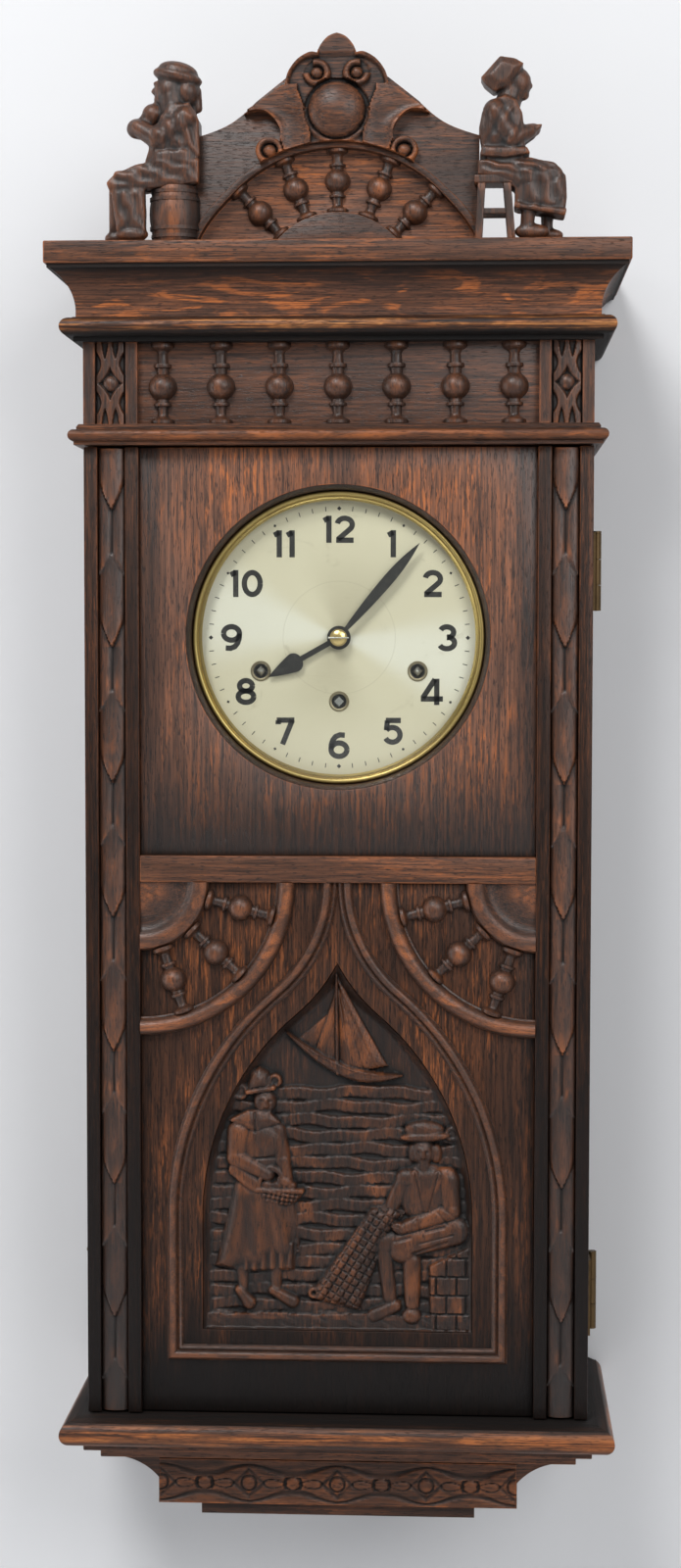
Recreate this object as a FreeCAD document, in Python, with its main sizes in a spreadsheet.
import FreeCAD, Part
import Sketcher
import math
import os

# Box chime wall clock: carved oak case, hinged front door, three-train spring movement.
# Frame: the wall is the plane y = 0, the front looks along -Y, and the origin is the hanger hole.

SIZES = {
    # levels, measured down from the hanger hole
    "hanger_to_door_top": 77.5,
    "door_height": 632.0,
    "door_margin": 1.0,
    "dial_below_door_top": 122.5,
    # carcass
    "case_width": 328.0,
    "case_depth": 128.0,
    "side_thickness": 12.0,
    "back_thickness": 8.0,
    "frieze_thickness": 16.0,
    "frieze_height": 52.5,
    "frieze_block_width": 35.0,
    "frieze_moulding_height": 13.4,
    "frieze_moulding_projection": 9.0,
    "bead_height": 15.5,
    "bead_projection": 13.5,
    "cove_height": 32.0,
    "cove_projection": 20.0,
    "cove_foot": 4.0,
    "cove_fillet": 2.6,
    "shelf_thickness": 14.0,
    "shelf_overhang": 22.0,
    "base_thickness": 18.0,
    "base_overhang": 17.0,
    "step_height": 6.2,
    "step_overhang": 3.0,
    "lower_step_height": 7.3,
    "lower_step_inset": 7.0,
    "apron_height": 31.0,
    "apron_inset": 8.0,
    "apron_setback": 3.0,
    "apron_cove_run": 30.5,
    "apron_cove_rise": 14.0,
    "foot_width": 181.0,
    "foot_height": 8.4,
    "foot_setback": 5.0,
    # hanger
    "hanger_width": 40.0,
    "hanger_height": 56.0,
    "hanger_thickness": 2.5,
    "hanger_bore": 5.0,
    "hanger_clearance_bore": 9.0,
    "hanger_screw_radius": 2.0,
    # pediment
    "pediment_thickness": 18.0,
    "pediment_setback": 14.0,
    "pediment_half_width": 86.0,
    "pediment_shoulder": 66.0,
    "pediment_crown": 108.0,
    "fan_centre_drop": 32.0,
    "fan_radius": 91.0,
    "fan_hub_radius": 51.0,
    "fan_recess": 6.0,
    "fan_rim_width": 4.0,
    "fan_rim_height": 2.0,
    "crest_thickness": 8.0,
    "crest_top": 132.0,
    "cabochon_radius": 17.0,
    "cabochon_height": 84.5,
    "cabochon_dome": 8.0,
    "figure_height": 113.0,
    "figure_gap": 4.0,
    # turned spindles
    "spindle_end_margin": 15.9,
    "spindle_ball": 8.3,
    "spindle_cap": 7.2,
    "spindle_neck": 3.2,
    "fan_ball": 7.4,
    "fan_cap": 5.6,
    "fan_neck": 2.7,
    # door
    "seam_gap": 0.5,
    "door_thickness": 21.5,
    "stile_width": 35.5,
    "panel_recess": 5.0,
    "panel_thickness": 14.0,
    "rail_height": 17.2,
    "upper_panel_height": 264.0,
    "dial_opening_radius": 98.6,
    "leaf_channel_width": 18.0,
    "leaf_channel_depth": 6.0,
    "leaf_strip_clearance": 0.25,
    "leaf_crown": 1.0,
    "arch_side_margin": 22.1,
    "arch_spring_drop": 220.0,
    "arch_upper_radius": 96.0,
    "arch_top_gap": 5.0,
    "arch_bead_radius": 4.0,
    "arch_foot_margin": 39.8,
    "relief_margin": 18.0,
    "relief_recess": 8.0,
    "relief_ground": 3.0,
    "relief_clearance": 0.2,
    "relief_sill": 15.0,
    "corner_arc_radius": 95.0,
    "corner_arc_bead": 5.0,
    "corner_disc_radius": 45.0,
    "corner_disc_rim": 6.5,
    "corner_disc_height": 6.0,
    # bezel and glass
    "bezel_radius": 95.0,
    "bezel_sight_radius": 89.0,
    "bezel_wall": 1.4,
    "bezel_flange_radius": 106.0,
    "bezel_flange": 1.0,
    "bezel_projection": 7.0,
    "glass_thickness": 1.6,
    "glass_rise": 9.5,
    # door furniture
    "hinge_height": 50.0,
    "hinge_leaf_width": 19.0,
    "hinge_leaf_thickness": 1.4,
    "hinge_knuckle_radius": 2.9,
    "hinge_pin_radius": 1.5,
    "hinge_offset": 3.2,
    "hinge_end_distance": 80.0,
    "hinge_play": 0.3,
    "pull_height": 106.0,
    "pull_radius": 2.6,
    "pull_projection": 2.0,
    "catch_stud_radius": 2.0,
    "catch_stud_length": 8.5,
    "catch_play": 0.3,
    # dial and hands
    "dial_setback": 0.5,
    "dial_radius": 97.0,
    "dial_thickness": 1.2,
    "dial_to_plate": 14.3,
    "dial_foot_radius": 2.5,
    "dial_foot_circle": 70.0,
    "dial_pipe_hole": 5.0,
    "winding_side": 51.3,
    "winding_drop": 21.8,
    "grommet_hole": 5.6,
    "grommet_radius": 6.6,
    "grommet_bore": 4.7,
    "grommet_proud": 0.8,
    "winding_square": 4.6,
    "minute_hand_length": 81.0,
    "minute_hand_width": 7.2,
    "hour_hand_length": 53.0,
    "hour_hand_width": 12.6,
    "hand_boss_radius": 7.7,
    "hand_thickness": 0.9,
    "hour_hand_lift": 2.6,
    "minute_hand_lift": 5.4,
    "hand_nut_radius": 5.6,
    "hand_nut_height": 2.4,
    # movement
    "plate_width": 150.0,
    "plate_above": 72.0,
    "plate_below": 84.0,
    "plate_thickness": 2.0,
    "plate_gap": 42.0,
    "pillar_radius": 4.0,
    "pillar_inset": 10.0,
    "pillar_nut_radius": 3.4,
    "pillar_nut_height": 2.5,
    "seat_thickness": 14.0,
    "seat_front_margin": 6.0,
    "seat_back_margin": 3.0,
    "running_clearance": 0.05,
    "barrel_radius": 21.0,
    "barrel_length": 27.0,
    "barrel_arbor": 3.4,
    "great_wheel_thickness": 2.5,
    "train_module": 0.8,
    "centre_module": 0.5,
    "third_module": 0.45,
    "motion_module": 0.7,
    "wheel_thickness": 2.0,
    "wheel_end_gap": 2.5,
    "ratchet_radius": 9.0,
    "centre_arbor_radius": 1.6,
    "cannon_wall": 0.85,
    "hour_pipe_wall": 1.1,
    "train_arbor_radius": 1.5,
    "pivot_radius": 1.0,
    "escape_height": 38.0,
    "escape_radius": 14.0,
    "pallet_distance": 19.0,
    "pallet_clearance": 1.3,
    # pendulum
    "pendulum_behind_plate": 9.0,
    "pendulum_length": 285.0,
    "pendulum_rod_radius": 3.0,
    "bob_radius": 40.0,
    "bob_thickness": 17.0,
    "suspension_pin_radius": 1.5,
    "crutch_length": 67.0,
    "crutch_play": 0.4,
    "rating_nut_radius": 7.0,
    "rating_nut_height": 6.0,
    # chime
    "gong_block_width": 118.0,
    "gong_block_height": 26.0,
    "gong_block_depth": 18.0,
    "gong_rod_radius": 2.2,
    "gong_rod_length": 250.0,
    "gong_rod_step": 14.0,
    "gong_inner": 32.0,
    "gong_spacing": 16.0,
    "hammer_length": 68.0,
    "hammer_head_radius": 5.0,
    "hammer_gap": 1.5,
    "hammer_arbor_radius": 1.5,
    "hammer_hub_radius": 3.6,
    "hammer_head_length": 17.0,
    "hammer_below_seat": 4.0,
}

# Tooth counts, chosen for a 12:1 motion work and 114 beats a minute
GREAT_TEETH = 96
CENTRE_PINION = 8
CENTRE_TEETH = 80
THIRD_PINION = 8
THIRD_TEETH = 76
ESCAPE_PINION = 8
ESCAPE_TEETH = 36
CANNON_TEETH = 12
MINUTE_TEETH = 36
MINUTE_PINION = 10
HOUR_TEETH = 40
RATCHET_TEETH = 24
FAN_SPINDLE_DEGREES = 22.0
FRIEZE_SPINDLES = 7
PINION_SHIFT = 0.4
TOOTH_PLAY = 0.2

doc = FreeCAD.newDocument("box_chime_clock")
sheet = doc.addObject("Spreadsheet::Sheet", "dims")
for row, (alias, number) in enumerate(SIZES.items(), start=1):
    sheet.set(f"A{row}", alias)
    sheet.set(f"B{row}", str(number))
    sheet.setAlias(f"B{row}", alias)
doc.recompute()


class Size:
    """A length in millimetres together with the sheet expression that gives it."""

    def __init__(self, value, text):
        self.value = value
        self.text = text

    def __float__(self):
        return self.value

    def __add__(self, other):
        other = as_size(other)
        return Size(self.value + other.value, f"({self.text} + {other.text})")

    def __sub__(self, other):
        other = as_size(other)
        return Size(self.value - other.value, f"({self.text} - {other.text})")

    def __mul__(self, other):
        other = as_size(other)
        return Size(self.value * other.value, f"({self.text} * {other.text})")

    def __truediv__(self, other):
        other = as_size(other)
        return Size(self.value / other.value, f"({self.text} / {other.text})")

    def __neg__(self):
        return Size(-self.value, f"(0 - {self.text})")

    def __radd__(self, other):
        return as_size(other) + self

    def __rsub__(self, other):
        return as_size(other) - self

    def __rmul__(self, other):
        return as_size(other) * self


def as_size(number):
    """A Size from a plain number, or the Size itself."""
    if isinstance(number, Size):
        return number
    return Size(float(number), f"({float(number)})")


class Dimensions:
    """The sheet's named sizes as attributes."""

    def __init__(self):
        for alias in SIZES:
            setattr(self, alias, Size(float(sheet.get(alias)), f"dims.{alias}"))


d = Dimensions()
nodes = {}


# Helpers for bound primitives

def vec(x, y, z):
    return FreeCAD.Vector(float(x), float(y), float(z))


def bind(obj, prop, size):
    obj.setExpression(prop, as_size(size).text)


def bind_place(obj, x, y, z):
    bind(obj, "Placement.Base.x", x)
    bind(obj, "Placement.Base.y", y)
    bind(obj, "Placement.Base.z", z)


def block(name, x, y, z):
    """A box between two limits on each axis."""
    obj = doc.addObject("Part::Box", name)
    for prop, span in (("Length", x), ("Width", y), ("Height", z)):
        bind(obj, prop, span[1] - span[0])
    bind_place(obj, x[0], y[0], z[0])
    return obj


TURNS = {
    "X": FreeCAD.Rotation(FreeCAD.Vector(0, 1, 0), 90),
    "Y": FreeCAD.Rotation(FreeCAD.Vector(1, 0, 0), -90),
    "Z": FreeCAD.Rotation(),
}


def rod(name, axis, across, span, radius):
    """A cylinder along an axis: its two other coordinates, its limits and its radius."""
    obj = doc.addObject("Part::Cylinder", name)
    bind(obj, "Radius", radius)
    bind(obj, "Height", span[1] - span[0])
    obj.Placement = FreeCAD.Placement(FreeCAD.Vector(), TURNS[axis])
    places = {
        "X": (span[0], across[0], across[1]),
        "Y": (across[0], span[0], across[1]),
        "Z": (across[0], across[1], span[0]),
    }
    bind_place(obj, *places[axis])
    return obj


def fuse(name, pieces):
    obj = doc.addObject("Part::MultiFuse", name)
    obj.Shapes = pieces
    return obj


def cut(name, base, tools):
    obj = doc.addObject("Part::Cut", name)
    obj.Base = base
    obj.Tool = tools[0] if len(tools) == 1 else fuse(name + "_cutters", tools)
    return obj


def group(name, pieces):
    obj = doc.addObject("Part::Compound", name)
    obj.Links = pieces
    return obj


def shaped(name, shape):
    obj = doc.addObject("Part::Feature", name)
    obj.Shape = shape
    return obj


def node(obj):
    """Register a finished sub-part under its label."""
    nodes[obj.Label] = obj
    return obj


# Helpers for sketched bodies

def new_body(name, plane, outlines, circles):
    """A body with one sketch on an origin plane, its corners and circles bound to the sheet."""
    body = doc.addObject("PartDesign::Body", name)
    sketch = body.newObject("Sketcher::SketchObject", name + "_sketch")
    role = [feature for feature in body.Origin.OriginFeatures if feature.Role == plane][0]
    sketch.AttachmentSupport = (role, [""])
    sketch.MapMode = "FlatFace"
    for outline in outlines:
        first = sketch.GeometryCount
        count = len(outline)
        for i, (u, v) in enumerate(outline):
            nu, nv = outline[(i + 1) % count]
            sketch.addGeometry(Part.LineSegment(vec(u, v, 0), vec(nu, nv, 0)), False)
        for i, (u, v) in enumerate(outline):
            sketch.addConstraint(Sketcher.Constraint("Coincident", first + i, 2, first + (i + 1) % count, 1))
            fix_point(sketch, first + i, 1, u, v)
    for u, v, radius in circles:
        index = sketch.addGeometry(Part.Circle(vec(u, v, 0), vec(0, 0, 1), float(radius)), False)
        fix_point(sketch, index, 3, u, v)
        key = sketch.addConstraint(Sketcher.Constraint("Radius", index, float(radius)))
        sketch.setExpression(f"Constraints[{key}]", as_size(radius).text)
    return body, sketch


def fix_point(sketch, index, end, u, v):
    for kind, size in (("DistanceX", u), ("DistanceY", v)):
        key = sketch.addConstraint(Sketcher.Constraint(kind, -1, 1, index, end, float(size)))
        sketch.setExpression(f"Constraints[{key}]", as_size(size).text)


def plate(name, outlines, circles, back, thickness):
    """A flat piece drawn in the XZ plane, from its back plane towards the front."""
    body, sketch = new_body(name, "XZ_Plane", outlines, circles)
    pad = body.newObject("PartDesign::Pad", name + "_pad")
    pad.Profile = sketch
    bind(pad, "Length", thickness)
    bind(body, "Placement.Base.y", back)
    return body


def turned(name, outline):
    """A full turning about Z from a straight-sided half section of (radius, height) corners."""
    body, sketch = new_body(name, "XZ_Plane", [outline], [])
    revolution = body.newObject("PartDesign::Revolution", name + "_revolution")
    revolution.Profile = sketch
    revolution.ReferenceAxis = (sketch, ["V_Axis"])
    revolution.Angle = 360
    return body


# Helpers for curved shapes: an outline is a list of (u, v) corners, or (mid u, mid v, u, v) arcs

def edges_of(outline, place):
    edges = []
    start = place(outline[0][0], outline[0][1])
    for step in outline[1:]:
        end = place(step[-2], step[-1])
        if len(step) == 4:
            edges.append(Part.Arc(start, place(step[0], step[1]), end).toShape())
        else:
            edges.append(Part.LineSegment(start, end).toShape())
        start = end
    return edges


def closed_face(outline, place):
    edges = edges_of(outline, place)
    first = place(outline[0][0], outline[0][1])
    last = place(outline[-1][-2], outline[-1][-1])
    if first.distanceToPoint(last) > 1e-6:
        edges.append(Part.LineSegment(last, first).toShape())
    return Part.Face(Part.Wire(edges))


def front_prism(outline, back, front):
    """An XZ outline carried from its back plane to its front plane."""
    def place(u, v):
        return vec(u, back, v)
    return closed_face(outline, place).extrude(vec(0, float(front) - float(back), 0))


def mirrored(shape):
    return shape.mirror(FreeCAD.Vector(), FreeCAD.Vector(1, 0, 0))


def symmetric(outline):
    """A right half outline from its foot on the centre line to its head there, closed by its mirror."""
    pairs = [(float(step[-2]), float(step[-1])) for step in outline]
    full = list(outline)
    for i in range(len(outline) - 1, 0, -1):
        u, v = pairs[i - 1]
        if len(outline[i]) == 4:
            full.append((-float(outline[i][0]), outline[i][1], -u, v))
        else:
            full.append((-u, v))
    return full[:-1] if abs(pairs[0][0]) < 1e-9 else full


def moulding(profile, bottom, hollow):
    """A moulding mitred round the front and both sides; its profile is (projection, height) steps."""
    half = float(d.case_width) / 2
    front = -float(door_front)

    def section(u, v):
        return vec(0, -(front + float(u)), float(bottom) + float(v))

    def side(u, v):
        return vec(half + float(u), 0, float(bottom) + float(v))

    head = profile[-1][-1]
    foot = profile[0][-1]
    reach = 4 * half
    depth = closed_face(list(profile) + [(-front, head), (-front, foot)], section)
    depth.translate(vec(-reach / 2, 0, 0))
    across = closed_face(list(profile) + [(-half, head), (-half, foot)], side)
    right = across.extrude(vec(0, -reach, 0))
    body = depth.extrude(vec(reach, 0, 0)).common(right.fuse(mirrored(right)).removeSplitter())
    if hollow:
        room = Part.makeBox(2 * half, -float(frieze_face), float(head) - float(foot))
        room.translate(vec(-half, float(frieze_face), float(bottom) + float(foot)))
        body = body.cut(room)
    return body.removeSplitter()


def half_turning(outline):
    """A split turning standing on the origin, with its flat back in the XZ plane."""
    def place(u, v):
        return vec(u, 0, v)
    return closed_face(outline, place).revolve(vec(0, 0, 0), vec(0, 0, 1), -180)


def spindle_outline(length, ball, cap, neck):
    """Half section of a ball baluster: cap, flare, ball with its ring, waist, flare and cap."""
    a, b, c, n = float(length), float(ball), float(cap), float(neck)
    reach = math.sqrt(b * b - n * n)
    ring = n + 0.35 * (b - n)
    middle = 0.5 * a
    return [
        (0, 0), (c, 0), (c, 0.06 * a),
        (n + 0.2 * (c - n), 0.12 * a, n, middle - reach - 0.07 * a),
        (ring, middle - reach - 0.05 * a), (ring, middle - reach),
        (n, middle - reach),
        (b, middle, n, middle + reach),
        (n, 0.8 * a),
        (n + 0.2 * (c - n), 0.9 * a, 0.9 * c, 0.95 * a),
        (c, 0.95 * a), (c, a), (0, a),
    ]


def cap_middle(radius, rise):
    """The point half-way along a spherical cap's section, from its rim to its crown."""
    ball = (radius ** 2 + rise ** 2) / (2 * rise)
    turn = math.asin(radius / ball) / 2
    return ball * math.sin(turn), rise - ball * (1 - math.cos(turn))


def tapered(start, end, start_radius, end_radius):
    """A carved limb: a tapering eight-sided bar that runs a little past its two ends."""
    start, end = vec(*start), vec(*end)
    along = end.sub(start)
    length = along.Length
    r, q = float(start_radius), float(end_radius)
    rings = []
    for height, radius in ((-0.75 * r, 0.6 * r), (-0.3 * r, r), (length + 0.3 * q, q), (length + 0.75 * q, 0.6 * q)):
        turns = [math.radians(22.5 + 45 * k) for k in range(8)]
        ring = [vec(radius * math.cos(turn), radius * math.sin(turn), height) for turn in turns]
        rings.append(ring)
    faces = [Part.Face(Part.makePolygon(ring + ring[:1])) for ring in (rings[0], rings[-1])]
    for low, high in zip(rings, rings[1:]):
        for k in range(8):
            n = (k + 1) % 8
            faces.append(Part.Face(Part.makePolygon([low[k], low[n], high[n], high[k], low[k]])))
    limb = Part.Solid(Part.Shell(faces))
    limb.Placement = FreeCAD.Placement(start, FreeCAD.Rotation(FreeCAD.Vector(0, 0, 1), along))
    return limb


def joined(shapes):
    """One solid from overlapping shapes."""
    whole = shapes[0].multiFuse(shapes[1:]).removeSplitter()
    return max(whole.Solids, key=lambda solid: solid.Volume)


# Helpers for gears

def gear_outline(teeth, module, shift, phase):
    """Involute tooth corners round the origin as (u, v) pairs."""
    pressure = math.radians(20)
    pitch = teeth * module / 2
    base = pitch * math.cos(pressure)
    tip = pitch + (shift + 0.8) * module
    root = pitch + (shift - 1.05) * module
    half = (math.pi / 2 + 2 * shift * math.tan(pressure)) / teeth - TOOTH_PLAY * module / (2 * pitch)

    def roll(angle):
        return math.tan(angle) - angle

    def half_angle(radius):
        if radius <= base:
            return half + roll(pressure)
        return half + roll(pressure) - roll(math.acos(base / radius))

    radii = [root] + ([base] if base > root + 1e-6 else []) + [(max(root, base) + tip) / 2, tip]
    corners = []
    for k in range(teeth):
        centre = phase + 2 * math.pi * k / teeth
        for radius in radii:
            angle = centre - half_angle(radius)
            corners.append((radius * math.cos(angle), radius * math.sin(angle)))
        for radius in reversed(radii):
            angle = centre + half_angle(radius)
            corners.append((radius * math.cos(angle), radius * math.sin(angle)))
    return corners


def mesh_phase(phase, teeth, mate_teeth, direction):
    """The tooth angle of a mate that lies in a direction from a gear, so that tooth meets gap."""
    share = ((direction - phase) * teeth / (2 * math.pi)) % 1
    return direction + math.pi - (0.5 - share) * 2 * math.pi / mate_teeth


def gear(teeth, module, shift, phase, centre, span):
    """A toothed disc on an arbor along Y, centred at (x, z), between two planes."""
    corners = gear_outline(teeth, float(module), shift, phase)
    outline = [(u + float(centre[0]), v + float(centre[1])) for u, v in corners]
    return front_prism(outline, span[0], span[1])


def bar(centre, span, radius):
    """A plain round bar along Y as a shape."""
    low, high = sorted((float(span[0]), float(span[1])))
    return Part.makeCylinder(float(radius), high - low, vec(centre[0], low, centre[1]), vec(0, 1, 0))


def square_bar(centre, span, side):
    """A square bar along Y, standing on its corner."""
    reach = float(side) / math.sqrt(2)
    x, z = float(centre[0]), float(centre[1])
    return front_prism([(x + reach, z), (x, z + reach), (x - reach, z), (x, z - reach)], span[0], span[1])


# Half width and height of the relief field, and height of the seated figures, in their drawings
DRAWN_FIELD = (92.8, 242.7)
DRAWN_FIGURE = 113.0
DRAWN_GIRTH = 11.0
DRAWN_PEDIMENT = 86.0


# Levels and planes that the pieces share

half_case = d.case_width / 2
inner_half = half_case - d.side_thickness
door_top = -d.hanger_to_door_top
door_bottom = door_top - d.door_height
dial_z = door_top - d.dial_below_door_top
base_top = door_bottom - d.door_margin
base_bottom = base_top - d.base_thickness
step_bottom = base_bottom - d.step_height
lower_step_bottom = step_bottom - d.lower_step_height
apron_bottom = lower_step_bottom - d.apron_height
foot_bottom = apron_bottom - d.foot_height
cornice_bottom = door_top + d.door_margin
frieze_bottom = cornice_bottom + d.frieze_moulding_height
frieze_top = frieze_bottom + d.frieze_height
bead_top = frieze_top + d.bead_height
shelf_bottom = bead_top + d.cove_height
shelf_top = shelf_bottom + d.shelf_thickness

carcass_front = -d.case_depth
frieze_face = carcass_front - d.frieze_thickness
door_back = carcass_front - d.seam_gap
door_front = door_back - d.door_thickness
panel_front = door_front + d.panel_recess
panel_back = panel_front + d.panel_thickness
panel_half = half_case - d.stile_width
rail_top = door_top - d.upper_panel_height
rail_bottom = rail_top - d.rail_height
arch_half_width = panel_half - d.arch_side_margin
arch_foot = door_bottom + d.arch_foot_margin

dial_front = carcass_front + d.dial_setback
dial_back = dial_front + d.dial_thickness
plate_front = dial_back + d.dial_to_plate
plate_inner = plate_front + d.plate_thickness
back_plate_inner = plate_inner + d.plate_gap
back_plate_rear = back_plate_inner + d.plate_thickness
board_face = -d.back_thickness


# Carcass

def make_carcass():
    board = block("back_board_blank", (-inner_half, inner_half), (board_face, as_size(0)), (base_top, shelf_bottom))
    pocket = block("hanger_pocket", (-d.hanger_width / 2, d.hanger_width / 2),
                   (-d.hanger_thickness, as_size(0)), (-d.hanger_height / 2, d.hanger_height / 2))
    well = rod("hanger_well", "Y", (as_size(0), as_size(0)), (board_face, -d.hanger_thickness),
               d.hanger_clearance_bore)
    node(cut("back_board", board, [pocket, well]))
    sides = [
        block(name, span, (carcass_front, as_size(0)), (base_top, shelf_bottom))
        for name, span in (("left_side", (-half_case, -inner_half)), ("right_side", (inner_half, half_case)))
    ]
    node(group("case_sides", sides))
    node(block("frieze_board", (-half_case, half_case), (frieze_face, carcass_front),
               (cornice_bottom, shelf_bottom)))
    blocks = [
        block(name, span, (door_front, frieze_face), (frieze_bottom, frieze_top))
        for name, span in (
            ("frieze_block_left", (-half_case, d.frieze_block_width - half_case)),
            ("frieze_block_right", (half_case - d.frieze_block_width, half_case)),
        )
    ]
    node(group("frieze_blocks", blocks))


def make_hanger():
    """Steel plate let into the back board, with the wall hook's hole and two screw holes."""
    blank = block("hanger_blank", (-d.hanger_width / 2, d.hanger_width / 2),
                  (-d.hanger_thickness, as_size(0)), (-d.hanger_height / 2, d.hanger_height / 2))
    across = (-d.hanger_thickness, as_size(0))
    holes = [rod("hanger_hole", "Y", (as_size(0), as_size(0)), across, d.hanger_bore)]
    for sign in (-1, 1):
        height = sign * (d.hanger_height / 2 - 4 * d.hanger_screw_radius)
        holes.append(rod(f"hanger_screw_hole_{sign + 1}", "Y", (as_size(0), height), across,
                         d.hanger_screw_radius))
    node(cut("hanger_plate", blank, holes))


def make_cornice():
    h, p = float(d.frieze_moulding_height), float(d.frieze_moulding_projection)
    profile = [(0.45 * p, 0), (0.45 * p, 0.19 * h), (p, 0.48 * h, 0.55 * p, 0.78 * h),
               (0.35 * p, 0.78 * h), (0.35 * p, h)]
    node(shaped("frieze_moulding", moulding(profile, cornice_bottom, True)))
    h, p = float(d.bead_height), float(d.bead_projection)
    profile = [(0.4 * p, 0), (0.4 * p, 0.19 * h), (p, 0.58 * h, 0.42 * p, h)]
    node(shaped("cornice_bead", moulding(profile, frieze_top, True)))
    h, p, foot = float(d.cove_height), float(d.cove_projection), float(d.cove_foot)
    lip = h - float(d.cove_fillet)
    hollow = 0.95 * p - foot
    profile = [(foot, 0), (foot, lip - hollow),
               (foot + 0.293 * hollow, lip - 0.293 * hollow, foot + hollow, lip), (p, lip), (p, h)]
    node(shaped("cornice_cove", moulding(profile, bead_top, True)))
    node(block("cornice_shelf", (-half_case - d.shelf_overhang, half_case + d.shelf_overhang),
               (door_front - d.shelf_overhang, as_size(0)), (shelf_bottom, shelf_top)))


def make_base():
    h, p = float(d.base_thickness), float(d.base_overhang)
    profile = [(0.72 * p, 0), (p, 0.36 * h, 0.86 * p, 0.66 * h), (0.5 * p, 0.8 * h, 0.3 * p, h)]
    node(shaped("base_roll", moulding(profile, base_bottom, False)))
    steps = [
        block("base_step_upper", (-half_case - d.step_overhang, half_case + d.step_overhang),
              (door_front - d.step_overhang, as_size(0)), (step_bottom, base_bottom)),
        block("base_step_lower", (d.lower_step_inset - half_case, half_case - d.lower_step_inset),
              (door_front + d.lower_step_inset, as_size(0)), (lower_step_bottom, step_bottom)),
    ]
    node(fuse("base_steps", steps))
    front = door_front + d.lower_step_inset + d.apron_setback
    head = float(half_case - d.lower_step_inset - d.apron_inset)
    foot = head - float(d.apron_cove_run)
    top, low = float(lower_step_bottom), float(apron_bottom)
    rise, run = float(d.apron_cove_rise), float(d.apron_cove_run)
    sweep = (run ** 2 + rise ** 2) / (2 * rise)
    turn = math.asin(run / sweep) / 2
    outline = symmetric([(0, low), (foot, low), (foot, top - rise),
                         (head - sweep * math.sin(turn), top - sweep * (1 - math.cos(turn)), head, top), (0, top)])
    foot = block("apron_foot", (-d.foot_width / 2, d.foot_width / 2), (front + d.foot_setback, as_size(0)),
                 (foot_bottom, apron_bottom))
    node(group("apron", [shaped("apron_block", front_prism(outline, 0, front)), foot]))


# Pediment

pediment_front = door_front - d.shelf_overhang + d.pediment_setback
pediment_back = pediment_front + d.pediment_thickness


def above_shelf(outline):
    """Lift an outline drawn from the shelf up to its place."""
    lift = float(shelf_top)
    return [tuple(n + lift if i % 2 else n for i, n in enumerate(map(float, step))) for step in outline]


def fan_disc(radius, back, front):
    centre = float(shelf_top - d.fan_centre_drop)
    return bar((0, centre), (back, front), radius)


def make_pediment():
    w, shoulder, crown = float(d.pediment_half_width), float(d.pediment_shoulder), float(d.pediment_crown)
    outline = symmetric([(0, 0), (w, 0), (w, shoulder), (0.8 * w, 0.66 * shoulder + 0.28 * crown,
                         0.6 * w, 0.35 * shoulder + 0.6 * crown), (0.3 * w, crown), (0, crown)])
    board = front_prism(above_shelf(outline), pediment_back, pediment_front)
    floor = pediment_front + d.fan_recess
    recess = fan_disc(d.fan_radius, floor, pediment_front).cut(fan_disc(d.fan_hub_radius, floor, pediment_front))
    proud = pediment_front - d.fan_rim_height
    rim = fan_disc(d.fan_radius + d.fan_rim_width, pediment_front, proud)
    rim = rim.cut(fan_disc(d.fan_radius, pediment_front, proud))
    slab = front_prism(above_shelf(outline), pediment_front, proud)
    rim = rim.common(slab)
    node(shaped("pediment_board", joined([board.cut(recess), rim])))
    length = float(d.fan_radius - d.fan_hub_radius)
    spindles = []
    for place in range(-2, 3):
        angle = place * FAN_SPINDLE_DEGREES
        spindle = half_turning(spindle_outline(length, d.fan_ball, d.fan_cap, d.fan_neck))
        spindle.translate(vec(0, floor, d.fan_hub_radius))
        spindle.rotate(FreeCAD.Vector(), FreeCAD.Vector(0, 1, 0), angle)
        spindle.translate(vec(0, 0, shelf_top - d.fan_centre_drop))
        trim = fan_disc(d.fan_radius, floor, proud - d.fan_ball)
        spindle = spindle.common(trim).cut(fan_disc(d.fan_hub_radius, floor, proud - d.fan_ball))
        spindles.append(max(spindle.Solids, key=lambda solid: solid.Volume))
    node(shaped("fan_spindles", Part.makeCompound(spindles)))


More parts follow.
